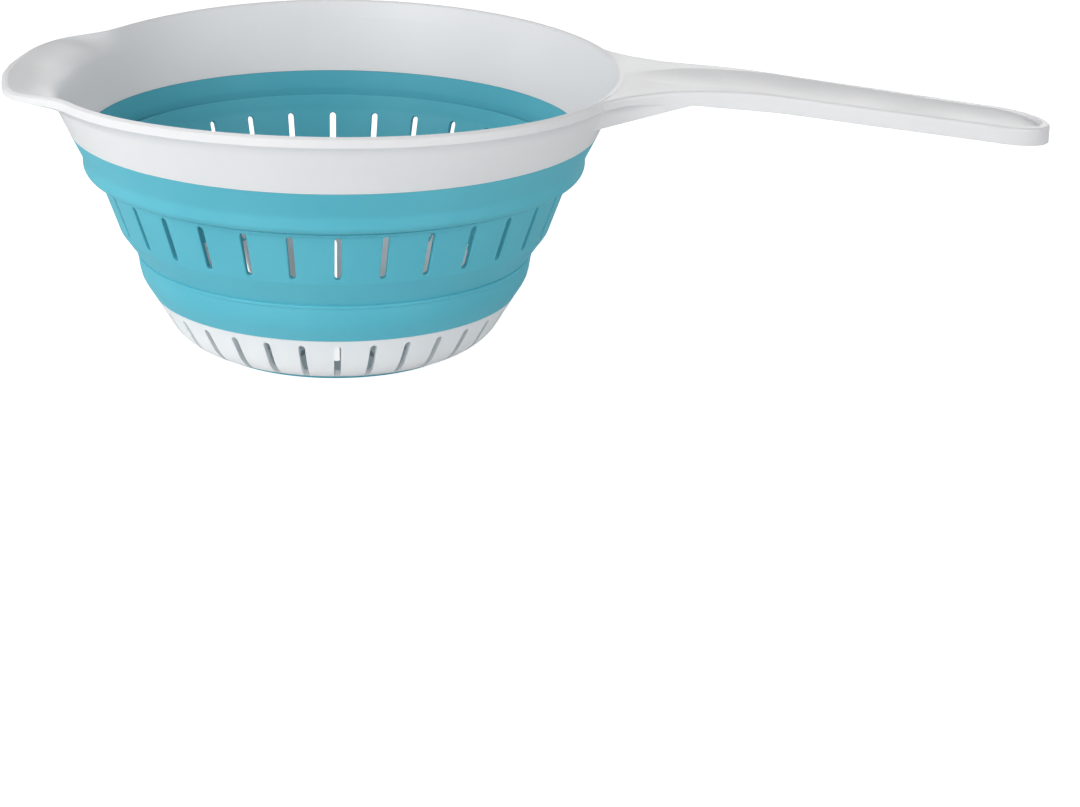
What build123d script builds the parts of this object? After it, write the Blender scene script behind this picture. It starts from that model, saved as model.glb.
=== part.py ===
from build123d import *
import os
from math import atan2, cos, degrees, radians, sin, sqrt, tan

# A small handled colander that folds flat for storage.
# Origin: bowl axis, on the surface that the foot stands on. +X along the handle,
# +Z up, pouring lip at -X. Millimetres.

# Foot ring, soft
foot_radius = 47.0
foot_width = 4.5
foot_height = 1.2
foot_chamfer = 0.4
tongue_width = 2.0
tongue_height = 0.8

# Base cup, stiff
foot_reveal = 0.5
base_corner_out = 12.5
base_corner_rise = 8.8
base_wall_out = 5.8
base_wall_rise = 10.0
base_wall = 2.2
base_skirt_rise = 2.4
base_skirt_wall = 1.3

# Drain slots
slot_count = 32
base_slot_width = 2.4
base_slot_top_margin = 2.3
base_slot_floor_margin = 2.5
floor_slot_width = 2.4
floor_slot_inner = 14.0
floor_slot_outer_margin = 4.5
ring_slot_width = 2.3
ring_slot_bottom_margin = 9.2
ring_slot_top_margin = 1.6

# Soft wall
fold_wall = 2.2
ring_wall = 2.0
running_gap = 0.3
bond_gap = 0.05
lower_fold_out = 7.1
lower_fold_rise = 14.6
lower_fold_bulge = 1.4
crease_rise = 1.8
ring_land = 0.4
neck_land = 0.35
ring_waist_out = 3.9
ring_waist_rise = 6.0
ring_top_out = 6.7
ring_top_rise = 21.6
ring_hem_rise = 5.4
ring_hem_wall = 1.3
hem_radius = 6.4
hem_out = 4.9
upper_fold_out = 4.8
upper_fold_rise = 10.4

# Rim band
skirt_lap = 2.9
skirt_wall = 2.5
skirt_inset = 4.86
band_out = 8.26
band_rise = 18.0
bead_overhang = 0.84
bead_height = 3.6
bead_width = 2.2
bead_crown = 0.8
lip_crown = 0.35
band_wall = 2.3
cove_drop = 7.2
handle_side_dip = 1.9
lip_side_dip = 3.6
crest_trim = 1.1

# Pouring lip
lip_reach = 13.6
lip_bead_height = 2.7
lip_cove_drop = 9.2

# Handle
handle_length = 150.4
handle_flat = 21.7
handle_bend = 32.0
handle_droop_angle = 6.8
grip_half_width = 16.3
flare_half_width = 22.5
tip_length = 19.0
handle_step = 0.15
strip_root_height = 3.0
strip_height = 6.2
strip_round = 1.0
top_facing = 0.9
handle_wall = 2.2
dish_depth = 1.2
dish_half_width = 12.5
dish_edge = 2.6
dish_start = 5.0
web_wall = 2.0
web_root_half_width = 30.9
web_tip_half_width = 20.6
web_reach = 24.1
web_root_rise = 7.0
web_tip_depth = 4.9
root_round_width = 6.1
root_round_depth = 7.5
root_cove_drop = 10.0

overrun = 5.0

# Lip outline: degrees from the middle of the lip, share of the reach
lip_reach_shares = (
    (-12, 1.0), (-6, 1.0), (0, 1.0), (6, 1.0), (12, 0.985), (16, 0.95), (19, 0.875),
    (22, 0.72), (24, 0.54), (26, 0.34), (28, 0.17), (30, 0.06), (33, 0.0),
)


# Rounding of the inner edge where the handle joins: degrees from the middle of
# the lip, share of the full rounding
root_round_shares = (
    (38, 0.0), (55, 0.0), (75, 0.0), (95, 0.0), (115, 0.0), (130, 0.0), (140, 0.05), (147, 0.18),
    (154, 0.42), (161, 0.7), (168, 0.92), (175, 1.0), (185, 1.0), (195, 0.85),
)

# Wall sections: how far each end tangent of a curve reaches, as a share of its
# chord, and the angles from upright of the curves' ends
plain_reach_share = 1 / 3
lip_under_share = 0.69
lip_inner_share = 0.62
cove_end_angle = 55.0
lip_end_angle = 88.0
skirt_flare_angle = 38.0

# Neighbouring curves of a section meet this far off straight, in degrees, so that
# each stretch of the rim keeps a face of its own
curve_break = 2.0

# Handle outline: share of the handle's length past the rim, share of the flare
handle_outline_shares = (
    (-0.0788, 1.231), (-0.0454, 1.0), (-0.0020, 0.711), (0.0448, 0.502),
    (0.0888, 0.338), (0.1463, 0.218), (0.2271, 0.133), (0.3674, 0.036),
    (0.4803, 0.013), (0.6045, 0.0), (0.7488, -0.036), (0.8730, -0.045),
)

# Heights of the wall, from the foot up
base_floor_z = foot_height
base_shoulder_z = base_floor_z + base_corner_rise
base_top_z = base_shoulder_z + base_wall_rise
neck_z = base_top_z + lower_fold_rise
ring_bottom_z = neck_z + crease_rise
ring_waist_z = ring_bottom_z + ring_waist_rise
ring_top_z = ring_waist_z + ring_top_rise
ring_hem_z = ring_top_z + ring_hem_rise

# Radii of the wall's outside, from the foot up
base_floor_radius = foot_radius + foot_reveal
base_shoulder_radius = base_floor_radius + base_corner_out
base_top_radius = base_shoulder_radius + base_wall_out
neck_radius = base_top_radius + lower_fold_out
ring_bore_radius = neck_radius + running_gap
ring_bottom_radius = ring_bore_radius + ring_land
ring_waist_radius = ring_bottom_radius + ring_waist_out
ring_top_radius = ring_waist_radius + ring_top_out
hem_bore_radius = ring_top_radius + running_gap
hem_radius_out = hem_bore_radius + hem_out
hem_center_radius = hem_radius_out - hem_radius
hem_center_z = ring_top_z + sqrt(hem_radius**2 - (hem_bore_radius - hem_center_radius) ** 2)
hem_inner_radius = hem_radius - fold_wall
hem_inner_z = hem_center_z - sqrt(hem_inner_radius**2 - (hem_bore_radius - hem_center_radius) ** 2)
band_bottom_z = hem_center_z + upper_fold_rise
band_bottom_radius = hem_radius_out + upper_fold_out
skirt_bottom_z = band_bottom_z - skirt_lap
fold_slope = upper_fold_out / upper_fold_rise
skirt_outer_radius = band_bottom_radius - skirt_lap * fold_slope - (skirt_inset - skirt_wall)
skirt_inner_radius = skirt_outer_radius - skirt_wall
bead_bottom_z = band_bottom_z + band_rise
rim_top_z = bead_bottom_z + bead_height
rim_radius = band_bottom_radius + band_out + bead_overhang


def level(radius, height):
    """A point of a section, as distance from the bowl's axis and height."""
    return (radius, height)


def lerp(a, b, share):
    """The value at a share of the way from a to b."""
    return a + (b - a) * share


def ahead(point, angle, distance):
    """The point at a distance from another, at an angle from upright."""
    return (point[0] + distance * sin(radians(angle)), point[1] + distance * cos(radians(angle)))


def atan_degrees(out, rise):
    """The angle from upright of a line that goes so far out over its rise."""
    return degrees(atan2(out, rise))


def distance_between(a, b):
    """The straight distance between two points of a section."""
    return sqrt((a[0] - b[0]) ** 2 + (a[1] - b[1]) ** 2)


# Foot ring: a soft ring with a tongue moulded into the base's groove
with BuildPart() as foot_ring:
    with BuildSketch(Plane.XZ):
        with BuildLine():
            Polyline(
                level(foot_radius - foot_width, 0),
                level(foot_radius, 0),
                level(foot_radius, foot_height),
                level(foot_radius - foot_width / 2 + tongue_width / 2, foot_height),
                level(foot_radius - foot_width / 2 + tongue_width / 2, foot_height + tongue_height),
                level(foot_radius - foot_width / 2 - tongue_width / 2, foot_height + tongue_height),
                level(foot_radius - foot_width / 2 - tongue_width / 2, foot_height),
                level(foot_radius - foot_width, foot_height),
                close=True,
            )
        make_face()
    revolve(axis=Axis.Z)
    chamfer(foot_ring.edges().group_by(Axis.Z)[0], length=foot_chamfer)
foot_ring.part.label = "foot_ring"

# Base cup: flat floor, rounded corner and flared wall, with a thin skirt above
# for the soft wall to grip
wall_start = level(base_floor_radius, base_floor_z)
wall_shoulder = level(base_shoulder_radius, base_shoulder_z)
wall_top = level(base_top_radius, base_top_z)
base_slope = base_wall_out / base_wall_rise
base_level_wall = base_wall * sqrt(base_wall_out**2 + base_wall_rise**2) / base_wall_rise
wall_angle = atan_degrees(base_wall_out, base_wall_rise)
shoulder_inside = ahead(wall_shoulder, wall_angle - 90, base_wall)
floor_inside = level(base_floor_radius, base_floor_z + base_wall)
skirt_top_z = base_top_z + base_skirt_rise
skirt_top_inner = base_top_radius - base_level_wall + base_skirt_rise * base_slope
slot_top_z = base_top_z - base_slot_top_margin
slot_start = base_floor_radius + base_slot_floor_margin + base_slot_width / 2
floor_slot_outer = foot_radius - foot_width - floor_slot_outer_margin

# One cutter for a drain slot of the base: down the wall, round the corner and
# into the floor, with round ends
with BuildPart() as base_slot:
    with BuildSketch(Plane.YZ.offset(slot_start)):
        with Locations((0, slot_top_z - base_slot_width / 2)):
            Circle(base_slot_width / 2)
        with Locations((0, (slot_top_z - base_slot_width) / 2)):
            Rectangle(base_slot_width, slot_top_z)
    extrude(amount=base_top_radius - slot_start + overrun)
    with BuildSketch(Plane.XY):
        with Locations((slot_start, 0)):
            Circle(base_slot_width / 2)
    extrude(amount=slot_top_z / 2)

with BuildPart() as base_cup:
    with BuildSketch(Plane.XZ):
        with BuildLine():
            Line(level(0, base_floor_z), wall_start)
            TangentArc(wall_shoulder, wall_start, tangent=(-base_wall_out, -base_wall_rise))
            Polyline(
                wall_shoulder,
                wall_top,
                level(skirt_top_inner + base_skirt_wall - base_skirt_rise * base_slope, base_top_z),
                level(skirt_top_inner + base_skirt_wall, skirt_top_z),
                level(skirt_top_inner, skirt_top_z),
                shoulder_inside,
            )
            TangentArc(shoulder_inside, floor_inside, tangent=(-base_wall_out, -base_wall_rise))
            Polyline(floor_inside, level(0, base_floor_z + base_wall), level(0, base_floor_z))
        make_face()
    revolve(axis=Axis.Z)
    with BuildSketch(Plane.XY.offset(base_floor_z)):
        Circle(foot_radius - foot_width / 2 + tongue_width / 2)
        Circle(foot_radius - foot_width / 2 - tongue_width / 2, mode=Mode.SUBTRACT)
    extrude(amount=tongue_height, mode=Mode.SUBTRACT)
    with PolarLocations(0, slot_count, start_angle=180 / slot_count):
        add(base_slot.part, mode=Mode.SUBTRACT)
    with BuildSketch(Plane.XY.offset(base_floor_z)):
        with PolarLocations(
            (floor_slot_inner + floor_slot_outer) / 2, slot_count // 2, start_angle=180 / slot_count
        ):
            SlotOverall(floor_slot_outer - floor_slot_inner, floor_slot_width)
    extrude(amount=base_wall, mode=Mode.SUBTRACT)
base_cup.part.label = "base_cup"

# Lower fold: soft, lapped round the base's skirt, bulging out to the crease.
# Its upper end is the inner half of the wall at the crease
ring_slope = ring_waist_out / ring_waist_rise
ring_level_wall = ring_wall * sqrt(ring_waist_out**2 + ring_waist_rise**2) / ring_waist_rise
neck_inner = neck_radius - fold_wall
ring_inner_low = ring_bottom_radius - ring_level_wall
neck_inner_z = ring_bottom_z + (neck_inner - ring_inner_low) / ring_slope
neck_top_z = ring_bottom_z + (neck_radius - neck_land - ring_inner_low) / ring_slope
with BuildPart() as lower_fold:
    with BuildSketch(Plane.XZ):
        with BuildLine():
            SagittaArc(wall_top, level(neck_radius, neck_z), lower_fold_bulge)
            Polyline(
                level(neck_radius, neck_z),
                level(neck_radius, neck_top_z),
                level(neck_radius - neck_land, neck_top_z),
                level(neck_inner, neck_inner_z),
                level(neck_inner, neck_z),
            )
            SagittaArc(
                level(neck_inner, neck_z),
                level(skirt_top_inner, skirt_top_z),
                -lower_fold_bulge * (neck_z - skirt_top_z) / lower_fold_rise,
            )
            Polyline(
                level(skirt_top_inner, skirt_top_z),
                level(skirt_top_inner + base_skirt_wall, skirt_top_z),
                level(skirt_top_inner + base_skirt_wall - base_skirt_rise * base_slope, base_top_z),
                wall_top,
            )
        make_face()
    revolve(axis=Axis.Z)
lower_fold.part.label = "lower_fold"

# Middle ring: the stiff slotted part of the soft wall
ring_top_slope = ring_top_out / ring_top_rise
ring_top_level_wall = ring_wall * sqrt(ring_top_out**2 + ring_top_rise**2) / ring_top_rise
ring_bore_z = ring_bottom_z + (ring_bore_radius - ring_inner_low) / ring_slope
ring_inner_waist = ring_waist_radius - (ring_level_wall + ring_top_level_wall) / 2
ring_inner_hem = ring_top_radius - ring_hem_wall
ring_slot_bottom_z = ring_bottom_z + ring_slot_bottom_margin
ring_slot_top_z = ring_top_z - ring_slot_top_margin
ring_slot_z = (ring_slot_bottom_z + ring_slot_top_z) / 2
ring_slot_radius = ring_waist_radius + (ring_slot_z - ring_waist_z) * ring_top_slope
ring_lean = atan_degrees(ring_top_out, ring_top_rise)
ring_slot_length = (ring_slot_top_z - ring_slot_bottom_z) / cos(radians(ring_lean))

# One cutter for a drain slot of the ring, square to the wall that it goes through
with BuildPart() as ring_slot:
    with BuildSketch(
        Plane(
            origin=(ring_slot_radius, 0, ring_slot_z),
            x_dir=(0, 1, 0),
            z_dir=(cos(radians(ring_lean)), 0, -sin(radians(ring_lean))),
        )
    ):
        SlotOverall(ring_slot_length, ring_slot_width, rotation=90)
    extrude(amount=ring_wall + overrun, both=True)

with BuildPart() as middle_ring:
    with BuildSketch(Plane.XZ):
        with BuildLine():
            Polyline(
                level(ring_bore_radius, ring_bottom_z),
                level(ring_bottom_radius, ring_bottom_z),
                level(ring_waist_radius, ring_waist_z),
                level(ring_top_radius, ring_top_z),
                level(ring_top_radius, ring_hem_z),
                level(ring_inner_hem, ring_hem_z),
                level(ring_top_radius - ring_top_level_wall, ring_top_z),
                level(ring_inner_waist, ring_waist_z),
                level(ring_bore_radius, ring_bore_z),
                close=True,
            )
        make_face()
    revolve(axis=Axis.Z)
    with PolarLocations(0, slot_count, start_angle=180 / slot_count):
        add(ring_slot.part, mode=Mode.SUBTRACT)
middle_ring.part.label = "middle_ring"

# Upper fold: soft, rolled out under its shoulder and lapped round the rim's skirt
shoulder = level(hem_radius_out, hem_center_z)
shoulder_inner = level(hem_radius_out - fold_wall, hem_center_z)
lap_radius = skirt_outer_radius + bond_gap
with BuildPart() as upper_fold:
    with BuildSketch(Plane.XZ):
        with BuildLine():
            RadiusArc(level(hem_bore_radius, ring_top_z), shoulder, -hem_radius)
            Polyline(
                shoulder,
                level(band_bottom_radius - bond_gap * fold_slope, band_bottom_z - bond_gap),
                level(lap_radius + skirt_lap * fold_slope, band_bottom_z - bond_gap),
                level(lap_radius, skirt_bottom_z - bond_gap),
                level(skirt_inner_radius, skirt_bottom_z - bond_gap),
                shoulder_inner,
            )
            RadiusArc(shoulder_inner, level(hem_bore_radius, hem_inner_z), hem_inner_radius)
            Line(level(hem_bore_radius, hem_inner_z), level(hem_bore_radius, ring_top_z))
        make_face()
    revolve(axis=Axis.Z)
upper_fold.part.label = "upper_fold"


def rim_height(x):
    """Height of the rim's crest: it dips gently towards the handle and the lip."""
    dip = handle_side_dip if x > 0 else lip_side_dip
    return rim_top_z - dip * (x / rim_radius) ** 2


def radial_plane(angle):
    """The upright plane through the bowl's axis at an angle from the lip."""
    return Plane(
        origin=(0, 0, 0),
        x_dir=(-cos(radians(angle)), -sin(radians(angle)), 0),
        z_dir=(-sin(radians(angle)), cos(radians(angle)), 0),
    )


def band_section(angle, share, rounding):
    """One closed section of the rim: skirt, flared band, soft cove and crowned edge.

    The share runs from 0 for the plain band to 1 for the middle of the lip,
    where the band turns outward and its edge gets thinner. The rounding runs
    to 1 where the handle joins, and widens the inner side of the crown.
    """
    edge = rim_radius + lip_reach * share
    crest = rim_height(-edge * cos(radians(angle)))
    band_angle = atan_degrees(band_out, band_rise)
    band_foot = level(band_bottom_radius, band_bottom_z)
    drop = lerp(lerp(cove_drop, lip_cove_drop, share), root_cove_drop, rounding)
    cove_rise = crest - drop - band_bottom_z
    cove_start = level(band_bottom_radius + cove_rise * band_out / band_rise, band_bottom_z + cove_rise)
    under_edge = level(edge, crest - lerp(bead_height, lip_bead_height, share))
    under_chord = distance_between(cove_start, under_edge)
    under_reach = lerp(plain_reach_share, lip_under_share, share)
    crown_foot = level(edge, crest - bead_crown)
    crown_top = level(edge - bead_width / 2, crest)
    crown_inner = level(
        edge - lerp(bead_width, root_round_width, rounding),
        crest - lerp(lerp(bead_crown, lip_crown, share), root_round_depth, rounding),
    )
    inner_angle = lerp(band_angle, lip_end_angle, share)
    crown_chord = distance_between(crown_top, crown_inner)
    inside = ahead(cove_start, band_angle - 90, band_wall)
    inner_chord = distance_between(inside, crown_inner)
    inner_reach = lerp(plain_reach_share, lip_inner_share, share)
    skirt_foot = level(skirt_inner_radius, skirt_bottom_z)
    foot_chord = distance_between(skirt_foot, inside)
    with BuildSketch(radial_plane(angle)) as section:
        with BuildLine():
            Polyline(
                skirt_foot,
                level(skirt_outer_radius, skirt_bottom_z),
                level(skirt_outer_radius + skirt_lap * fold_slope, band_bottom_z),
                band_foot,
                cove_start,
            )
            Bezier(
                cove_start,
                ahead(cove_start, band_angle, under_chord * plain_reach_share),
                ahead(under_edge, lerp(cove_end_angle, lip_end_angle, share), -under_chord * under_reach),
                under_edge,
            )
            Polyline(under_edge, crown_foot, crown_top)
            Bezier(
                crown_top,
                ahead(crown_top, 90, -crown_chord * plain_reach_share),
                ahead(crown_inner, inner_angle - curve_break, crown_chord * plain_reach_share),
                crown_inner,
            )
            Bezier(
                crown_inner,
                ahead(crown_inner, inner_angle, -inner_chord * inner_reach),
                ahead(inside, band_angle, inner_chord * plain_reach_share),
                inside,
            )
            Bezier(
                inside,
                ahead(inside, band_angle + curve_break, -foot_chord * plain_reach_share),
                ahead(skirt_foot, skirt_flare_angle, foot_chord * plain_reach_share),
                skirt_foot,
            )
        make_face()
    return section.sketch


# Rim band, half of it as a loft of sections round the bowl from past the lip's
# middle to past the handle
with BuildPart() as rim_band:
    for angle, share in lip_reach_shares:
        add(band_section(angle, share, 0))
    for angle, rounding in root_round_shares:
        add(band_section(angle, 0, rounding))
    loft()
    split(bisect_by=Plane.XZ, keep=Keep.TOP)
    mirror(about=Plane.XZ)

# Handle: a bent bar in the plan of the flare, grip and round tip, hollow from
# below, with two gusset webs down to the rim band
handle_root_z = rim_height(rim_radius) - handle_step
tip_x = rim_radius + handle_length
bend_start = (rim_radius + handle_flat, handle_root_z)
bend_drop = handle_bend * tan(radians(handle_droop_angle) / 2)
bend_end = (bend_start[0] + handle_bend, handle_root_z - bend_drop)
tip_drop = (tip_x + overrun - bend_end[0]) * tan(radians(handle_droop_angle))
root_x = rim_radius - bead_overhang - band_out


def handle_plan(inset):
    """The handle seen from above, drawn in by an inset on every side."""
    table = [
        (rim_radius + handle_length * along, grip_half_width + flare_half_width * out)
        for along, out in handle_outline_shares
    ]
    side = []
    for i, (x, y) in enumerate(table[:-1]):
        before, after = table[max(i - 1, 0)], table[i + 1]
        run, fall = after[0] - before[0], after[1] - before[1]
        reach = sqrt(run**2 + fall**2)
        side.append((x + inset * fall / reach, y - inset * run / reach))
    tip_half_width = table[-1][1] - inset
    side.append((tip_x - tip_length, tip_half_width))
    with BuildSketch(Plane.XY.offset(band_bottom_z - overrun)) as plan:
        with BuildLine():
            Spline(*side)
            EllipticalCenterArc(
                (tip_x - tip_length, 0),
                tip_length - inset,
                tip_half_width,
                start_angle=0,
                arc_size=90,
            )
            mirror(about=Plane.XZ)
            Line(side[0], (side[0][0], -side[0][1]))
        make_face()
    return plan.sketch


plan_depth = rim_top_z - band_bottom_z + 2 * overrun
side_depth = 2 * flare_half_width + grip_half_width

with BuildPart() as handle_bar:
    with BuildSketch(Plane.XZ) as bar_side:
        with BuildLine():
            Line((root_x, handle_root_z), bend_start)
            RadiusArc(bend_start, bend_end, handle_bend / sin(radians(handle_droop_angle)))
            Polyline(
                bend_end,
                (tip_x + overrun, bend_end[1] - tip_drop),
                (tip_x + overrun, bend_end[1] - tip_drop - strip_height),
                (bend_end[0], bend_end[1] - strip_height),
                (rim_radius, handle_root_z - strip_root_height),
                (root_x, handle_root_z - strip_root_height),
                (root_x, handle_root_z),
            )
        make_face()
    extrude(amount=side_depth, both=True)
    extrude(handle_plan(0), amount=plan_depth, mode=Mode.INTERSECT)
    top_faces = handle_bar.faces().filter_by(lambda face: face.normal_at().Z > top_facing)
    fillet(top_faces.edges().filter_by(GeomType.LINE, reverse=True), radius=strip_round)

# The shallow dish along the top: a thick rod laid along the bend, so deep that
# its side makes the dish, kept inside the edge of the plan
dish_radius = (dish_half_width**2 + dish_depth**2) / (2 * dish_depth)
dish_height = dish_radius - dish_depth
bend_middle = (
    (bend_start[0] + bend_end[0]) / 2,
    handle_root_z - bend_drop / 4,
)
with BuildPart() as handle_dish:
    with BuildLine(Plane.XZ) as dish_path:
        Polyline(
            (rim_radius + dish_start, handle_root_z + dish_radius),
            (bend_start[0], bend_start[1] + dish_height),
            (bend_middle[0], bend_middle[1] + dish_height),
            (bend_end[0], bend_end[1] + dish_height),
            (tip_x + overrun, bend_end[1] - tip_drop + dish_height),
        )
    with BuildSketch(Plane(dish_path.wire() @ 0, z_dir=dish_path.wire() % 0)):
        Circle(dish_radius)
    sweep(path=dish_path.wire(), transition=Transition.RIGHT)
    extrude(handle_plan(dish_edge), amount=plan_depth, mode=Mode.INTERSECT)

# The hollow under the bar: its side profile, lowered by the wall and the dish
with BuildPart() as handle_hollow:
    with BuildSketch(Plane((0, 0, -handle_wall - dish_depth), x_dir=(1, 0, 0), z_dir=(0, -1, 0))):
        add(bar_side.sketch_local)
    extrude(amount=side_depth, both=True)
    extrude(handle_plan(handle_wall), amount=plan_depth, mode=Mode.INTERSECT)

# Gusset webs: two upright plates that run from the rim band under the handle's
# root and come together towards the grip, cut to a wedge from the side
web_start_x = band_bottom_radius - band_wall
web_tip = (rim_radius + web_reach, handle_root_z - web_tip_depth)
with BuildPart() as handle_webs:
    with BuildSketch(Plane.XZ):
        with BuildLine():
            Polyline(
                (web_start_x, band_bottom_z + web_root_rise),
                web_tip,
                (web_tip[0], handle_root_z - handle_wall / 2),
                (web_start_x, handle_root_z - handle_wall / 2),
                close=True,
            )
        make_face()
    extrude(amount=side_depth, both=True)
    with BuildSketch(Plane.XY.offset(band_bottom_z - overrun)) as web_plan:
        with BuildLine():
            Polyline(
                (web_start_x, web_root_half_width),
                (web_tip[0], web_tip_half_width),
                (web_tip[0], web_tip_half_width - web_wall),
                (web_start_x, web_root_half_width - web_wall),
                close=True,
            )
        make_face()
        mirror(about=Plane.XZ)
    extrude(amount=plan_depth, mode=Mode.INTERSECT)

# The bowl's space, out to the middle of the rim band's wall
with BuildPart() as bowl_space:
    with BuildSketch(Plane.XZ):
        with BuildLine():
            Polyline(
                level(0, skirt_bottom_z),
                level(skirt_outer_radius - skirt_wall / 2, skirt_bottom_z),
                level(band_bottom_radius - skirt_wall / 2, band_bottom_z),
                level(rim_radius - bead_overhang - crest_trim, handle_root_z - bead_height),
                level(rim_radius - crest_trim, handle_root_z - bead_crown),
                level(rim_radius - crest_trim, rim_top_z + overrun),
                level(0, rim_top_z + overrun),
                close=True,
            )
        make_face()
    revolve(axis=Axis.Z)

with BuildPart() as rim_frame:
    add(handle_bar.part)
    add(handle_dish.part, mode=Mode.SUBTRACT)
    add(handle_hollow.part, mode=Mode.SUBTRACT)
    add(handle_webs.part)
    add(bowl_space.part, mode=Mode.SUBTRACT)
    add(rim_band.part)
rim_frame.part.label = "rim_frame"

os.makedirs("parts", exist_ok=True)
for piece in (foot_ring, base_cup, lower_fold, middle_ring, upper_fold, rim_frame):
    export_step(piece.part, f"parts/{piece.part.label}.step")
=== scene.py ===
"""The look of a collapsible colander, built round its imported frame.

The bowl is a white rim with a pouring lip and a handle, a soft teal wall that
folds in two places, a white slotted base and a soft foot ring. Sizes are in
millimetres where nothing else is said, and meshes are made in metres.
"""

from __future__ import annotations

import logging
import math
from dataclasses import dataclass, replace
from enum import Enum
from typing import Any

import bmesh
import bpy
from mathutils import Matrix, Vector

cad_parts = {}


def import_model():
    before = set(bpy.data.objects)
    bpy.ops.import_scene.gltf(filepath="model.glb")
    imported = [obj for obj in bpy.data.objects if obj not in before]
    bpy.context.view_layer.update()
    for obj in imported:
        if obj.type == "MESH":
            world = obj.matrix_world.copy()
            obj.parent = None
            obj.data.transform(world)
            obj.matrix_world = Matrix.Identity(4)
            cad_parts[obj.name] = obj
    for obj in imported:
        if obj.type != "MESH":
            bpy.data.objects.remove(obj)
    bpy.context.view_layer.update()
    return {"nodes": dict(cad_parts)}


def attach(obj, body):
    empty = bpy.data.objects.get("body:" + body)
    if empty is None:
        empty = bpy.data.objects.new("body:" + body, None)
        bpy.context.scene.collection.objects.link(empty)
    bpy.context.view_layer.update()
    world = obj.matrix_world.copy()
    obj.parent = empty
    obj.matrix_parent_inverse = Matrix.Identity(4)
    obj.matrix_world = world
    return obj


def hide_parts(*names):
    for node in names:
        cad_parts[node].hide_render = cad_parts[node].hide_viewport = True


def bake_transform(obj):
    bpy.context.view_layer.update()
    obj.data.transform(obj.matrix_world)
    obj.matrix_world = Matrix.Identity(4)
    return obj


LOG = logging.getLogger("colander")
MM = 0.001

Colour = tuple[float, float, float]


class Body(str, Enum):
    """The moving bodies of the colander."""

    BASE = "base"
    MIDDLE = "middle"
    RIM = "rim"


class Node(str, Enum):
    """The solids of the frame."""

    RIM_FRAME = "rim_frame"
    UPPER_FOLD = "upper_fold"
    MIDDLE_RING = "middle_ring"
    LOWER_FOLD = "lower_fold"
    BASE_CUP = "base_cup"
    FOOT_RING = "foot_ring"


# Shader groups

WHITE = (1.0, 1.0, 1.0, 1.0)
GRAIN_DETAIL = 3.0
GRAIN_STRENGTH = 0.4
PATCH_DETAIL = 4.0
ROUGHNESS_SPAN = (0.12, 0.4)
DRIFT_DETAIL = 2.0
DRIFT_SPAN = (0.35, 0.65)
MIX_FIRST_COLOUR = 6
MIX_SECOND_COLOUR = 7
MIX_COLOUR_RESULT = 2
SKIN_DEPTH = 2.0


class NodeSheet:
    """A node tree with short calls for adding and linking nodes."""

    def __init__(self, tree: bpy.types.NodeTree) -> None:
        """Keep the tree that the nodes go into.

        Args:
            tree: The node tree of a material, a world or a group.
        """
        self.tree = tree

    def add(
        self, kind: str, inputs: dict[Any, Any] | None = None, **settings: Any
    ) -> bpy.types.Node:
        """Add one node.

        Args:
            kind: Blender's name of the node type.
            inputs: Values or output sockets for its inputs, by name or index.
            **settings: Attributes to set on the node.

        Returns:
            The new node.
        """
        node = self.tree.nodes.new(kind)
        for name, value in settings.items():
            setattr(node, name, value)
        for key, value in (inputs or {}).items():
            socket = node.inputs[key]
            if isinstance(value, bpy.types.NodeSocket):
                self.tree.links.new(value, socket)
            else:
                socket.default_value = value
        return node


def effect_group(
    name: str, inputs: dict[str, tuple[str, Any]], outputs: dict[str, str]
) -> tuple[bpy.types.NodeTree, NodeSheet]:
    """Start a shader node group with named inputs and outputs.

    Args:
        name: The group's name.
        inputs: Socket type and default value for each input name.
        outputs: Socket type for each output name.

    Returns:
        The group's tree, and the sheet to add its nodes with.
    """
    tree = bpy.data.node_groups.new(name, "ShaderNodeTree")
    for label, (kind, default) in inputs.items():
        socket = tree.interface.new_socket(label, in_out="INPUT", socket_type=kind)
        socket.default_value = default
    for label, kind in outputs.items():
        tree.interface.new_socket(label, in_out="OUTPUT", socket_type=kind)
    return tree, NodeSheet(tree)


def moulded_grain_group() -> bpy.types.NodeTree:
    """Build the fine surface of a moulded part: roughness that varies and a shallow grain.

    Returns:
        The node group, with outputs Roughness and Height.
    """
    tree, sheet = effect_group(
        "moulded grain",
        {
            "Grain Scale": ("NodeSocketFloat", 900.0),
            "Patch Scale": ("NodeSocketFloat", 30.0),
            "Low Roughness": ("NodeSocketFloat", 0.35),
            "High Roughness": ("NodeSocketFloat", 0.5),
        },
        {"Roughness": "NodeSocketFloat", "Height": "NodeSocketFloat"},
    )
    given = sheet.add("NodeGroupInput")
    place = sheet.add("ShaderNodeTexCoord")
    grain = sheet.add(
        "ShaderNodeTexNoise",
        {
            "Vector": place.outputs["Object"],
            "Scale": given.outputs["Grain Scale"],
            "Detail": GRAIN_DETAIL,
        },
    )
    patch = sheet.add(
        "ShaderNodeTexNoise",
        {
            "Vector": place.outputs["Object"],
            "Scale": given.outputs["Patch Scale"],
            "Detail": PATCH_DETAIL,
        },
    )
    both = sheet.add(
        "ShaderNodeMath", {0: grain.outputs[0], 1: patch.outputs[0]}, operation="MULTIPLY"
    )
    rough = sheet.add(
        "ShaderNodeMapRange",
        {
            "Value": both.outputs[0],
            "From Min": ROUGHNESS_SPAN[0],
            "From Max": ROUGHNESS_SPAN[1],
            "To Min": given.outputs["Low Roughness"],
            "To Max": given.outputs["High Roughness"],
        },
    )
    sheet.add("NodeGroupOutput", {"Roughness": rough.outputs[0], "Height": grain.outputs[0]})
    return tree


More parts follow.
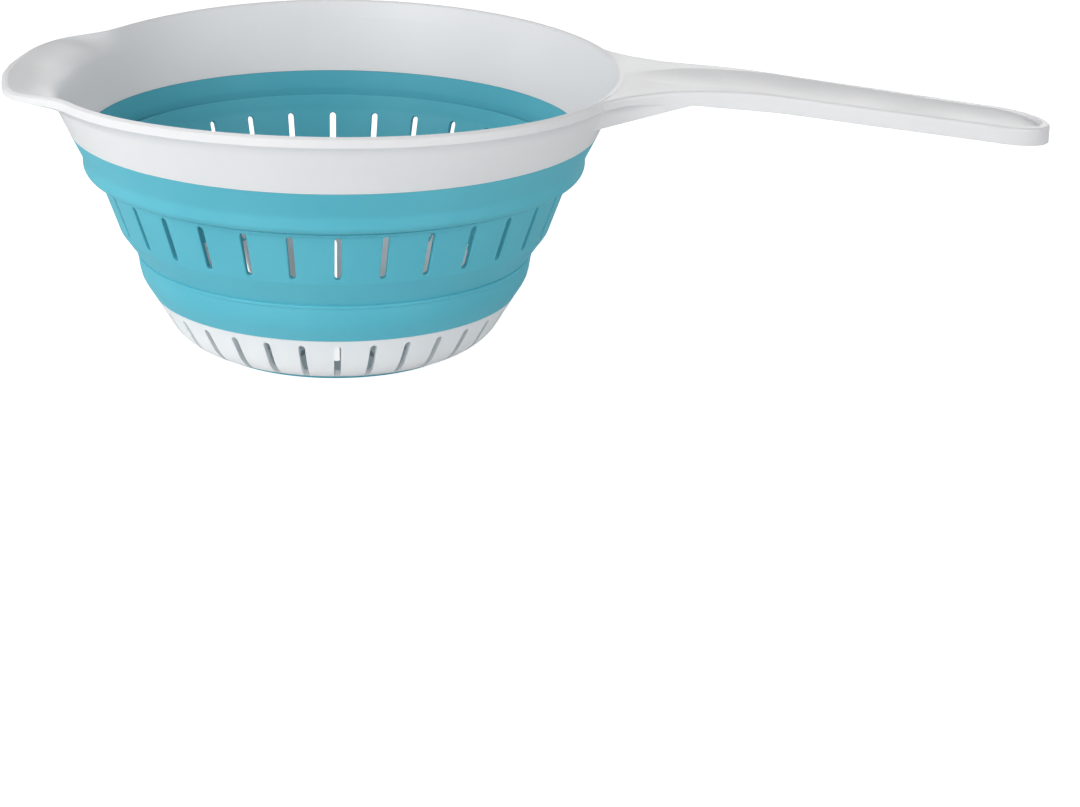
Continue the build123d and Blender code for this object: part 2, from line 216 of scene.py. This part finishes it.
def tone_drift_group() -> bpy.types.NodeTree:
    """Build a slow drift between two close tones, as in a moulded part seen in soft light.

    Returns:
        The node group, with the output Colour.
    """
    tree, sheet = effect_group(
        "tone drift",
        {
            "Tone": ("NodeSocketColor", (0.8, 0.8, 0.8, 1.0)),
            "Second Tone": ("NodeSocketColor", (0.7, 0.7, 0.7, 1.0)),
            "Scale": ("NodeSocketFloat", 12.0),
        },
        {"Colour": "NodeSocketColor"},
    )
    given = sheet.add("NodeGroupInput")
    place = sheet.add("ShaderNodeTexCoord")
    drift = sheet.add(
        "ShaderNodeTexNoise",
        {
            "Vector": place.outputs["Object"],
            "Scale": given.outputs["Scale"],
            "Detail": DRIFT_DETAIL,
        },
    )
    share = sheet.add(
        "ShaderNodeMapRange",
        {"Value": drift.outputs[0], "From Min": DRIFT_SPAN[0], "From Max": DRIFT_SPAN[1]},
    )
    blend = sheet.add(
        "ShaderNodeMix",
        {
            "Factor": share.outputs[0],
            MIX_FIRST_COLOUR: given.outputs["Tone"],
            MIX_SECOND_COLOUR: given.outputs["Second Tone"],
        },
        data_type="RGBA",
    )
    sheet.add("NodeGroupOutput", {"Colour": blend.outputs[MIX_COLOUR_RESULT]})
    return tree


@dataclass(frozen=True)
class Finish:
    """One moulded finish: its two close tones, its gloss and its grain."""

    name: str
    tone: Colour
    second_tone: Colour
    tone_scale: float
    low_roughness: float
    high_roughness: float
    grain_scale: float
    patch_scale: float
    grain_depth: float
    subsurface: float
    subsurface_radius: Colour
    sheen: float
    specular: float

    def material(self, groups: dict[str, bpy.types.NodeTree]) -> bpy.types.Material:
        """Build the finish's material.

        Args:
            groups: The shared effects, by name.

        Returns:
            The new material.
        """
        made = bpy.data.materials.new(self.name)
        made.use_nodes = True
        made.node_tree.nodes.clear()
        sheet = NodeSheet(made.node_tree)
        grain = sheet.add("ShaderNodeGroup", node_tree=groups["moulded grain"])
        grain.inputs["Grain Scale"].default_value = self.grain_scale
        grain.inputs["Patch Scale"].default_value = self.patch_scale
        grain.inputs["Low Roughness"].default_value = self.low_roughness
        grain.inputs["High Roughness"].default_value = self.high_roughness
        drift = sheet.add("ShaderNodeGroup", node_tree=groups["tone drift"])
        drift.inputs["Tone"].default_value = (*self.tone, 1.0)
        drift.inputs["Second Tone"].default_value = (*self.second_tone, 1.0)
        drift.inputs["Scale"].default_value = self.tone_scale
        bump = sheet.add(
            "ShaderNodeBump",
            {
                "Height": grain.outputs["Height"],
                "Strength": GRAIN_STRENGTH,
                "Distance": self.grain_depth * MM,
            },
        )
        shader = sheet.add(
            "ShaderNodeBsdfPrincipled",
            {
                "Base Color": drift.outputs["Colour"],
                "Roughness": grain.outputs["Roughness"],
                "Normal": bump.outputs["Normal"],
                "Subsurface Weight": self.subsurface,
                "Subsurface Scale": SKIN_DEPTH * MM,
                "Subsurface Radius": self.subsurface_radius,
                "Sheen Weight": self.sheen,
                "Specular IOR Level": self.specular,
            },
        )
        sheet.add("ShaderNodeOutputMaterial", {"Surface": shader.outputs[0]})
        return made


RIM_PLASTIC = Finish(
    name="rim_plastic",
    tone=(0.80, 0.805, 0.815),
    second_tone=(0.775, 0.78, 0.795),
    tone_scale=14.0,
    low_roughness=0.32,
    high_roughness=0.46,
    grain_scale=1400.0,
    patch_scale=40.0,
    grain_depth=0.02,
    subsurface=0.12,
    subsurface_radius=(1.0, 1.0, 1.0),
    sheen=0.0,
    specular=0.45,
)

# The base's white is the rim's plastic with lighter tones: painted light that stands in for the
# light the white floor bounces up onto the base.
FLOOR_LIT_BASE_PLASTIC = replace(
    RIM_PLASTIC,
    name="base_plastic",
    tone=(0.865, 0.87, 0.88),
    second_tone=(0.84, 0.845, 0.86),
)

TEAL_RUBBER = Finish(
    name="teal_rubber",
    tone=(0.114, 0.49, 0.60),
    second_tone=(0.097, 0.455, 0.565),
    tone_scale=18.0,
    low_roughness=0.46,
    high_roughness=0.6,
    grain_scale=1800.0,
    patch_scale=60.0,
    grain_depth=0.03,
    subsurface=0.1,
    subsurface_radius=(0.5, 0.9, 1.0),
    sheen=0.02,
    specular=0.25,
)


# Mesh forms

ARC_STEP = 12.0
FEWEST_ARC_STEPS = 2
SIDE_SHARE = 0.49
SHARP_ANGLE = 40.0
SAME_PLACE = 0.001


@dataclass(frozen=True)
class Corner:
    """A corner of a turned outline: radius and height, and how far it is rounded."""

    radius: float
    height: float
    rounding: float = 0.0

    def point(self) -> Vector:
        """The corner's place as distance from the axis and height."""
        return Vector((self.radius, self.height))


def corner_arc(back: Vector, here: Vector, ahead: Vector, rounding: float) -> list[Vector]:
    """Round one corner of an outline.

    Args:
        back: The point before the corner.
        here: The corner's point.
        ahead: The point after it.
        rounding: The arc's radius, which a short side makes smaller.

    Returns:
        The points of the arc.
    """
    back_side = back - here
    ahead_side = ahead - here
    turn = math.pi - back_side.angle(ahead_side)
    reach = min(
        rounding * math.tan(turn / 2),
        SIDE_SHARE * back_side.length,
        SIDE_SHARE * ahead_side.length,
    )
    radius = reach / math.tan(turn / 2)
    start = here + back_side.normalized() * reach
    end = here + ahead_side.normalized() * reach
    inward = ((start + end) / 2 - here).normalized()
    center = here + inward * radius * (1 / math.cos(turn / 2))
    toward = (here - center).normalized()
    side = 1 if back_side.x * ahead_side.y < back_side.y * ahead_side.x else -1
    steps = max(FEWEST_ARC_STEPS, math.ceil(math.degrees(turn) / ARC_STEP))
    points = []
    for step in range(steps + 1):
        angle = (step / steps - 0.5) * turn * side
        cos_a = math.cos(angle)
        sin_a = math.sin(angle)
        spoke = Vector((toward.x * cos_a - toward.y * sin_a, toward.x * sin_a + toward.y * cos_a))
        points.append(center + spoke * radius)
    return points


def rounded_outline(corners: list[Corner], closed: bool) -> list[Vector]:
    """Round the corners of an outline with arcs.

    Args:
        corners: The corners in order.
        closed: Whether the last corner joins the first.

    Returns:
        The points of the rounded outline.
    """
    points: list[Vector] = []
    last = len(corners) - 1
    for i, corner in enumerate(corners):
        if corner.rounding <= 0 or (not closed and i in (0, last)):
            points.append(corner.point())
            continue
        back = corners[i - 1].point()
        ahead = corners[(i + 1) % len(corners)].point()
        points += corner_arc(back, corner.point(), ahead, corner.rounding)
    return points


def turn_outline(
    mesh: bmesh.types.BMesh, corners: list[Corner], closed: bool, divisions: int
) -> None:
    """Turn a rounded outline round the bowl's axis into rows of faces.

    Args:
        mesh: The mesh that the faces go into.
        corners: The outline's corners in order.
        closed: Whether the last corner joins the first.
        divisions: How many faces go round.
    """
    rows = []
    for point in rounded_outline(corners, closed):
        row = []
        for step in range(divisions):
            angle = math.tau * step / divisions
            east = point.x * math.cos(angle) * MM
            north = point.x * math.sin(angle) * MM
            row.append(mesh.verts.new((east, north, point.y * MM)))
        rows.append(row)
    following = rows[1:] + rows[:1] if closed else rows[1:]
    for low, high in zip(rows, following):
        for step in range(divisions):
            after = (step + 1) % divisions
            mesh.faces.new((low[step], low[after], high[after], high[step]))


def finish_mesh(
    mesh: bmesh.types.BMesh, name: str, finish: bpy.types.Material
) -> bpy.types.Object:
    """Join a mesh's doubled points, turn its faces outward and make it an object.

    Args:
        mesh: The finished mesh, which is freed.
        name: The name of the piece.
        finish: Its material.

    Returns:
        The new object, linked into the scene.
    """
    bmesh.ops.remove_doubles(mesh, verts=mesh.verts, dist=SAME_PLACE * MM)
    bmesh.ops.recalc_face_normals(mesh, faces=mesh.faces)
    data = bpy.data.meshes.new(name)
    mesh.to_mesh(data)
    mesh.free()
    data.shade_smooth()
    data.set_sharp_from_angle(angle=math.radians(SHARP_ANGLE))
    data.materials.append(finish)
    piece = bpy.data.objects.new(name, data)
    bpy.context.scene.collection.objects.link(piece)
    LOG.info("built %s", name)
    return piece


def turned_piece(
    name: str, corners: list[Corner], divisions: int, finish: bpy.types.Material
) -> bpy.types.Object:
    """Make a piece from one closed outline.

    Args:
        name: The name of the piece.
        corners: The outline's corners in order.
        divisions: How many faces go round.
        finish: Its material.

    Returns:
        The new object.
    """
    mesh = bmesh.new()
    turn_outline(mesh, corners, closed=True, divisions=divisions)
    return finish_mesh(mesh, name, finish)


# The colander's parts


@dataclass
class SoftWall:
    """The teal wall: one soft moulding that folds at a lower and an upper crease."""

    # The lower fold, from its grip on the base to the neck
    base_top: Corner = Corner(65.75, 20.0)
    base_grip: Corner = Corner(64.65, 22.4, 0.3)
    grip_width: float = 1.39
    fold_bulge: Corner = Corner(69.8, 26.5, 21.0)
    fold_hollow: Corner = Corner(67.3, 27.3, 19.0)
    fold_wall: float = 2.2
    neck_radius: float = 70.1
    neck_z: float = 32.9
    neck_inside_drop: float = 0.3
    neck_inside_rounding: float = 2.0

    # The ledge and the narrow lip under the lower crease
    ledge_proud: float = 0.45
    ledge_drop: float = 1.5
    ledge_rounding: float = 3.0
    lip_proud: float = 0.85
    lip_drop: float = 1.3
    lip_slope: float = 0.4
    lip_low_rounding: float = 0.3
    lip_rounding: float = 0.4
    lip_gap: float = 0.05

    # The two creases
    crease_z: float = 34.4
    crease_depth: float = 0.45
    crease_reach: float = 0.2
    crease_slope: float = 0.9

    # The slotted ring's foot, which stands on the lower crease
    foot_proud: float = 0.3
    foot_rise: float = 0.1
    foot_height: float = 0.2
    foot_rounding: float = 0.1
    foot_cove: float = 0.5
    foot_width: float = 1.9
    foot_inside_rise: float = 0.35
    foot_inside_rounding: float = 0.6

    # The slotted ring, from its waist to the hem inside the roll
    waist: Corner = Corner(77.0, 43.9, 8.0)
    waist_inset: float = 2.2
    waist_inside_rise: float = 0.4
    ring_top: Corner = Corner(84.2, 64.0)
    top_inset: float = 2.1
    top_rise: float = 0.3
    top_rounding: float = 6.0
    bead_proud: float = 0.95
    bead_drop: float = 0.85
    bead_rounding: float = 0.45
    groove_rise: float = 0.15
    groove_rounding: float = 0.2
    hem_radius: float = 82.9
    hem_z: float = 69.4
    hem_drop: float = 0.05
    hem_rounding: float = 0.35
    wall: float = 2.0

    # The drain slots, and the faces round each
    slot_count: int = 32
    slot_width: float = 2.3
    slot_low_z: float = 45.6
    slot_high_z: float = 62.2
    slot_margin: float = 0.4
    slot_edge: float = 0.25
    slot_end_steps: int = 6
    slot_side_steps: int = 4
    slot_rings: int = 4

    # The roll between the upper crease and the shoulder
    roll_rise: float = 0.2
    roll_lip_proud: float = 0.3
    roll_lip_rise: float = 0.1
    roll_lip_rounding: float = 0.3
    roll_low_rise: float = 1.25
    roll_low_rounding: float = 6.0
    roll_high_rise: float = 0.8
    roll_high_rounding: float = 5.0
    roll_spread: float = 0.05
    roll_inside_rise: float = 2.2
    roll_inside_rounding: float = 3.6
    roll_end_rise: float = 2.3
    shoulder: Corner = Corner(89.4, 70.2)

    # The collar on the rim's band and its skirt
    band_foot: Corner = Corner(94.15, 80.55)
    band_drop: float = 0.1
    band_rounding: float = 0.15
    band_edge: float = 0.3
    seat_radius: float = 91.9
    skirt_radius: float = 90.57
    skirt_foot: Corner = Corner(88.0, 77.6)

    # The gap at the bonds, and rises and drops for the ends of each fold
    bond_gap: float = 0.02
    low_bend_rise: float = 0.2
    high_bend_rise: float = 1.0
    high_bend_drop: float = 0.3

    divisions: int = 192

    def lower_fold(self, finish: bpy.types.Material) -> None:
        """Build the fold between the base and the lower crease.

        Args:
            finish: The rubber.
        """
        neck = self.neck_radius
        crease = self.crease_z
        seat_z = self.base_top.height + self.bond_gap
        corners = [
            Corner(self.base_top.radius, seat_z),
            self.fold_bulge,
            Corner(neck + self.ledge_proud, self.neck_z - self.ledge_drop, self.ledge_rounding),
            Corner(neck + self.ledge_proud, crease - self.lip_drop, self.lip_rounding),
            Corner(
                neck + self.lip_proud,
                crease - self.lip_drop + self.lip_slope,
                self.lip_low_rounding,
            ),
            Corner(neck + self.lip_proud, crease - self.lip_gap, self.lip_rounding),
            Corner(neck + self.foot_proud, crease + self.foot_rise, self.foot_rounding),
            Corner(neck - self.crease_depth - self.crease_reach, crease),
            Corner(neck - self.fold_wall, crease - self.crease_slope),
            Corner(
                neck - self.fold_wall,
                self.neck_z - self.neck_inside_drop,
                self.neck_inside_rounding,
            ),
            self.fold_hollow,
            self.base_grip,
            Corner(self.base_grip.radius - self.grip_width, seat_z),
        ]
        piece = turned_piece("soft_wall_lower_fold", corners, self.divisions, finish)
        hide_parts(Node.LOWER_FOLD.value)
        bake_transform(piece)

    def upper_fold(self, finish: bpy.types.Material) -> None:
        """Build the rolled fold between the upper crease and the rim.

        Args:
            finish: The rubber.
        """
        top = self.ring_top
        band = self.band_foot
        inside = self.shoulder.radius - self.fold_wall
        bond = top.radius - self.crease_depth + self.bond_gap
        roll_high_z = self.shoulder.height + self.roll_high_rise
        corners = [
            Corner(bond, top.height + self.roll_rise),
            Corner(
                top.radius + self.roll_lip_proud,
                top.height + self.roll_lip_rise,
                self.roll_lip_rounding,
            ),
            Corner(self.shoulder.radius, top.height + self.roll_low_rise, self.roll_low_rounding),
            Corner(self.shoulder.radius + self.roll_spread, roll_high_z, self.roll_high_rounding),
            Corner(band.radius, band.height - self.band_drop, self.band_rounding),
            Corner(band.radius - self.band_edge, band.height),
            Corner(self.seat_radius, band.height),
            Corner(self.skirt_radius, self.skirt_foot.height + self.bond_gap),
            self.skirt_foot,
            Corner(inside, roll_high_z, self.roll_high_rounding),
            Corner(inside, top.height + self.roll_inside_rise, self.roll_inside_rounding),
            Corner(bond, top.height + self.roll_end_rise),
        ]
        piece = turned_piece("soft_wall_upper_fold", corners, self.divisions, finish)
        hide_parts(Node.UPPER_FOLD.value)
        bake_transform(piece)

    def cone_point(self, run: float, depth: float) -> Vector:
        """The point of the slotted wall at a run above the waist and a depth inside its skin."""
        rise = self.ring_top.point() - self.waist.point()
        along = rise.normalized()
        inward = Vector((-along.y, along.x))
        return self.waist.point() + along * run + inward * depth

    def run_at(self, height: float) -> float:
        """How far up the sloping wall a height is, from the waist."""
        rise = self.ring_top.point() - self.waist.point()
        return (height - self.waist.height) * rise.length / rise.y

    def place(
        self, sideways: float, run: float, depth: float, turn: float
    ) -> tuple[float, float, float]:
        """The place of a point of one sector of the wall, in metres.

        Args:
            sideways: Distance from the sector's middle plane.
            run: Distance up the wall from the waist.
            depth: Distance inside the wall's skin.
            turn: The angle of the sector's middle.

        Returns:
            The point's coordinates.
        """
        level = self.cone_point(run, depth)
        angle = turn + math.asin(sideways / level.x)
        return (level.x * math.cos(angle) * MM, level.x * math.sin(angle) * MM, level.y * MM)

    def slot_contour(self, grow: float) -> list[tuple[float, float]]:
        """Go round one slot, starting at the foot of its right side.

        Args:
            grow: How far outside the slot's edge the contour lies.

        Returns:
            Points as distance sideways and run.
        """
        half = self.slot_width / 2
        low = self.run_at(self.slot_low_z) + half
        high = self.run_at(self.slot_high_z) - half
        reach = half + grow
        points = []
        for step in range(self.slot_side_steps):
            points.append((reach, low + (high - low) * step / self.slot_side_steps))
        for step in range(self.slot_end_steps):
            angle = math.pi * step / self.slot_end_steps
            points.append((reach * math.cos(angle), high + reach * math.sin(angle)))
        for step in range(self.slot_side_steps):
            points.append((-reach, high + (low - high) * step / self.slot_side_steps))
        for step in range(self.slot_end_steps):
            angle = math.pi * (1 + step / self.slot_end_steps)
            points.append((reach * math.cos(angle), low + reach * math.sin(angle)))
        return points

    def border_point(self, angle: float, run: float, depth: float) -> tuple[float, float]:
        """A sector border's distance sideways and run, at an angle from the sector's middle."""
        return (self.cone_point(run, depth).x * math.sin(angle), run)

    def sector_border(self, depth: float) -> list[tuple[float, float]]:
        """Go round one sector in step with the slot's contour.

        Args:
            depth: Distance inside the wall's skin.

        Returns:
            Points as distance sideways and run.
        """
        low = self.run_at(self.slot_low_z) - self.slot_margin
        high = self.run_at(self.slot_high_z) + self.slot_margin
        half_angle = math.pi / self.slot_count
        places = []
        for step in range(self.slot_side_steps):
            places.append((half_angle, low + (high - low) * step / self.slot_side_steps))
        for step in range(self.slot_end_steps):
            places.append((half_angle * (1 - 2 * step / self.slot_end_steps), high))
        for step in range(self.slot_side_steps):
            places.append((-half_angle, high + (low - high) * step / self.slot_side_steps))
        for step in range(self.slot_end_steps):
            places.append((half_angle * (2 * step / self.slot_end_steps - 1), low))
        return [self.border_point(angle, run, depth) for angle, run in places]

    def add_slotted_band(self, mesh: bmesh.types.BMesh) -> None:
        """Add the band of the wall that the drain slots go through.

        Args:
            mesh: The mesh that the faces go into.
        """
        contour = self.slot_contour(self.slot_edge)
        slot = self.slot_contour(0.0)
        skins = []
        for depth, edge_depth in ((0.0, self.slot_edge), (self.wall, self.wall - self.slot_edge)):
            border = self.sector_border(depth)
            skin = []
            for ring in range(self.slot_rings + 1):
                share = ring / self.slot_rings
                skin.append(
                    [
                        (a[0] + (b[0] - a[0]) * share, a[1] + (b[1] - a[1]) * share, depth)
                        for a, b in zip(border, contour)
                    ]
                )
            skin.append([(sideways, run, edge_depth) for sideways, run in slot])
            skins.append(skin)
        rings = skins[0] + skins[1][::-1]
        for sector in range(self.slot_count):
            turn = math.tau * (sector + 0.5) / self.slot_count
            rows = [[mesh.verts.new(self.place(*point, turn)) for point in ring] for ring in rings]
            for outer, inner in zip(rows, rows[1:]):
                for step in range(len(outer)):
                    after = (step + 1) % len(outer)
                    mesh.faces.new((outer[step], outer[after], inner[after], inner[step]))

    def slotted_ring(self, finish: bpy.types.Material) -> None:
        """Build the stiff slotted part between the two creases.

        Args:
            finish: The rubber.
        """
        top = self.ring_top
        waist = self.waist
        neck = self.neck_radius
        low_run = self.run_at(self.slot_low_z) - self.slot_margin
        high_run = self.run_at(self.slot_high_z) + self.slot_margin
        bead = top.radius + self.bead_proud
        groove = top.radius - self.crease_depth
        below = [
            Corner(*self.cone_point(low_run, self.wall)),
            Corner(
                waist.radius - self.waist_inset,
                waist.height + self.waist_inside_rise,
                waist.rounding,
            ),
            Corner(
                neck - self.foot_width,
                self.crease_z + self.foot_inside_rise,
                self.foot_inside_rounding,
            ),
            Corner(neck + self.foot_proud, self.crease_z, self.foot_rounding),
            Corner(neck + self.foot_proud, self.crease_z + self.foot_height, self.foot_cove),
            waist,
            Corner(*self.cone_point(low_run, 0.0)),
        ]
        above = [
            Corner(*self.cone_point(high_run, 0.0)),
            Corner(bead, top.height - self.bead_drop, self.bead_rounding),
            Corner(bead, top.height, self.bead_rounding),
            Corner(groove, top.height + self.groove_rise, self.groove_rounding),
            Corner(groove, self.hem_z - self.hem_drop, self.hem_rounding),
            Corner(self.hem_radius, self.hem_z, self.hem_rounding),
            Corner(top.radius - self.top_inset, top.height + self.top_rise, self.top_rounding),
            Corner(*self.cone_point(high_run, self.wall)),
        ]
        mesh = bmesh.new()
        turn_outline(mesh, below, closed=False, divisions=self.divisions)
        turn_outline(mesh, above, closed=False, divisions=self.divisions)
        self.add_slotted_band(mesh)
        piece = finish_mesh(mesh, "soft_wall_slotted_ring", finish)
        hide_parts(Node.MIDDLE_RING.value)
        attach(piece, Body.MIDDLE.value)

    def build(self, finish: bpy.types.Material) -> None:
        """Build the wall's three lengths.

        Args:
            finish: The rubber.
        """
        self.lower_fold(finish)
        self.slotted_ring(finish)
        self.upper_fold(finish)


@dataclass
class FootRing:
    """The soft ring under the base, with its tongue in the base's groove."""

    outer: float = 47.0
    width: float = 4.5
    height: float = 1.2
    tongue_width: float = 2.0
    tongue_height: float = 0.8
    rounding: float = 0.45
    edge_rounding: float = 0.15
    divisions: int = 192

    def build(self, finish: bpy.types.Material) -> None:
        """Build the ring.

        Args:
            finish: The rubber.
        """
        inner = self.outer - self.width
        middle = self.outer - self.width / 2
        tongue_outer = middle + self.tongue_width / 2
        tongue_inner = middle - self.tongue_width / 2
        top = self.height + self.tongue_height
        corners = [
            Corner(inner, 0.0, self.rounding),
            Corner(self.outer, 0.0, self.rounding),
            Corner(self.outer, self.height, self.edge_rounding),
            Corner(tongue_outer, self.height),
            Corner(tongue_outer, top, self.edge_rounding),
            Corner(tongue_inner, top, self.edge_rounding),
            Corner(tongue_inner, self.height),
            Corner(inner, self.height, self.edge_rounding),
        ]
        piece = turned_piece("soft_foot_ring", corners, self.divisions, finish)
        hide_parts(Node.FOOT_RING.value)
        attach(piece, Body.BASE.value)


# Studio


@dataclass(frozen=True)
class Lamp:
    """A square soft light: its place and side in metres, and its power in watts."""

    name: str
    place: tuple[float, float, float]
    size: float
    power: float


@dataclass
class Studio:
    """The floor, the soft lights and the camera of the photograph's upper view.

    The camera's pitch and roll are in radians, and its turn is in degrees.
    """

    camera_distance: float = 1100.0
    camera_pitch: float = 0.3479
    camera_roll: float = -0.0220
    camera_turn: float = 0.95
    aim_height: float = 55.8
    aim_right: float = 73.53
    aim_down: float = 77.26
    focal_pixels: float = 3062.2
    image_width: float = 1080.0
    sensor_width: float = 36.0
    clip_near: float = 50.0
    clip_far: float = 50000.0
    floor_size: float = 6000.0
    floor_tone: Colour = (0.92, 0.92, 0.92)
    floor_glow: float = 0.8
    world_light: float = 0.12
    lamp_aim: float = 50.0
    lamps: tuple[Lamp, ...] = (
        Lamp("key_light", (-0.9, -1.4, 0.55), 1.0, 16.8),
        Lamp("high_light", (-1.0, -1.0, 1.4), 1.2, 5.5),
        Lamp("left_light", (-1.6, -0.1, 0.5), 1.0, 6.9),
        Lamp("right_light", (1.4, -0.9, 0.6), 1.0, 11.1),
        Lamp("back_light", (0.3, 1.6, 0.3), 1.2, 7.0),
    )

    def camera(self) -> None:
        """Place the camera where the photograph's upper view was taken."""
        turn = math.radians(self.camera_turn)
        forward = Vector(
            (
                -math.sin(turn) * math.cos(self.camera_pitch),
                math.cos(turn) * math.cos(self.camera_pitch),
                -math.sin(self.camera_pitch),
            )
        )
        level_right = forward.cross(Vector((0, 0, 1))).normalized()
        level_down = forward.cross(level_right)
        right = level_right * math.cos(self.camera_roll) + level_down * math.sin(self.camera_roll)
        down = level_down * math.cos(self.camera_roll) - level_right * math.sin(self.camera_roll)
        place = (
            Vector((0, 0, self.aim_height))
            - forward * self.camera_distance
            + right * self.aim_right
            + down * self.aim_down
        )
        lens = bpy.data.cameras.new("camera")
        lens.sensor_width = self.sensor_width
        lens.sensor_fit = "HORIZONTAL"
        lens.lens = self.focal_pixels / self.image_width * self.sensor_width
        lens.clip_start = self.clip_near * MM
        lens.clip_end = self.clip_far * MM
        camera = bpy.data.objects.new("camera", lens)
        up = -down
        back = -forward
        camera.matrix_world = Matrix(
            (
                (right.x, up.x, back.x, place.x * MM),
                (right.y, up.y, back.y, place.y * MM),
                (right.z, up.z, back.z, place.z * MM),
                (0.0, 0.0, 0.0, 1.0),
            )
        )
        bpy.context.scene.collection.objects.link(camera)
        bpy.context.scene.camera = camera

    def light(self, lamp: Lamp) -> None:
        """Add one soft light that faces the bowl.

        Args:
            lamp: What light it is.
        """
        area = bpy.data.lights.new(lamp.name, "AREA")
        area.size = lamp.size
        area.energy = lamp.power
        holder = bpy.data.objects.new(lamp.name, area)
        holder.location = lamp.place
        ray = Vector((0, 0, self.lamp_aim * MM)) - Vector(lamp.place)
        holder.rotation_euler = ray.to_track_quat("-Z", "Y").to_euler()
        bpy.context.scene.collection.objects.link(holder)

    def world(self) -> None:
        """Give the world an even pale light, seen as white by the camera and in reflections."""
        world = bpy.data.worlds.new("studio")
        world.use_nodes = True
        world.node_tree.nodes.clear()
        sheet = NodeSheet(world.node_tree)
        path = sheet.add("ShaderNodeLightPath")
        seen = sheet.add(
            "ShaderNodeMath",
            {0: path.outputs["Is Camera Ray"], 1: path.outputs["Is Glossy Ray"]},
            operation="MAXIMUM",
        )
        strength = sheet.add(
            "ShaderNodeMapRange",
            {"Value": seen.outputs[0], "To Min": self.world_light, "To Max": 1.0},
        )
        glow = sheet.add("ShaderNodeBackground", {"Color": WHITE, "Strength": strength.outputs[0]})
        sheet.add("ShaderNodeOutputWorld", {"Surface": glow.outputs[0]})
        bpy.context.scene.world = world

    def floor(self) -> None:
        """Lay the plain white floor that the foot stands on."""
        half = self.floor_size / 2 * MM
        mesh = bpy.data.meshes.new("floor")
        corners = [(-half, -half, 0), (half, -half, 0), (half, half, 0), (-half, half, 0)]
        mesh.from_pydata(corners, [], [(0, 1, 2, 3)])
        floor = bpy.data.objects.new("floor", mesh)
        bpy.context.scene.collection.objects.link(floor)
        paint = bpy.data.materials.new("floor_white")
        paint.use_nodes = True
        paint.node_tree.nodes.clear()
        sheet = NodeSheet(paint.node_tree)
        path = sheet.add("ShaderNodeLightPath")
        lit = sheet.add("ShaderNodeBsdfDiffuse", {"Color": (*self.floor_tone, 1.0)})
        strength = sheet.add(
            "ShaderNodeMath",
            {0: path.outputs["Is Camera Ray"], 1: self.floor_glow},
            operation="MULTIPLY",
        )
        glow = sheet.add("ShaderNodeEmission", {"Color": WHITE, "Strength": strength.outputs[0]})
        both = sheet.add("ShaderNodeAddShader", {0: lit.outputs[0], 1: glow.outputs[0]})
        sheet.add("ShaderNodeOutputMaterial", {"Surface": both.outputs[0]})
        mesh.materials.append(paint)

    def build(self) -> None:
        """Set up the camera, the lights, the world and the floor."""
        self.camera()
        self.world()
        for lamp in self.lamps:
            self.light(lamp)
        self.floor()


# Main


def paint_node(node: bpy.types.Object, finish: bpy.types.Material) -> None:
    """Give a solid of the frame a finish.

    Args:
        node: The solid's object.
        finish: The material.
    """
    node.data.materials.clear()
    node.data.materials.append(finish)


def main() -> None:
    """Load the frame, dress its pieces and light them."""
    logging.basicConfig(level=logging.INFO, format="%(name)s: %(message)s")
    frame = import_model()
    bpy.context.scene.view_settings.view_transform = "Standard"
    groups = {"moulded grain": moulded_grain_group(), "tone drift": tone_drift_group()}
    teal = TEAL_RUBBER.material(groups)
    for node, finish in ((Node.RIM_FRAME, RIM_PLASTIC), (Node.BASE_CUP, FLOOR_LIT_BASE_PLASTIC)):
        paint_node(frame["nodes"][node.value], finish.material(groups))
        LOG.info("painted %s", node.value)
    SoftWall().build(teal)
    FootRing().build(teal)
    Studio().build()


if __name__ == "__main__":
    main()
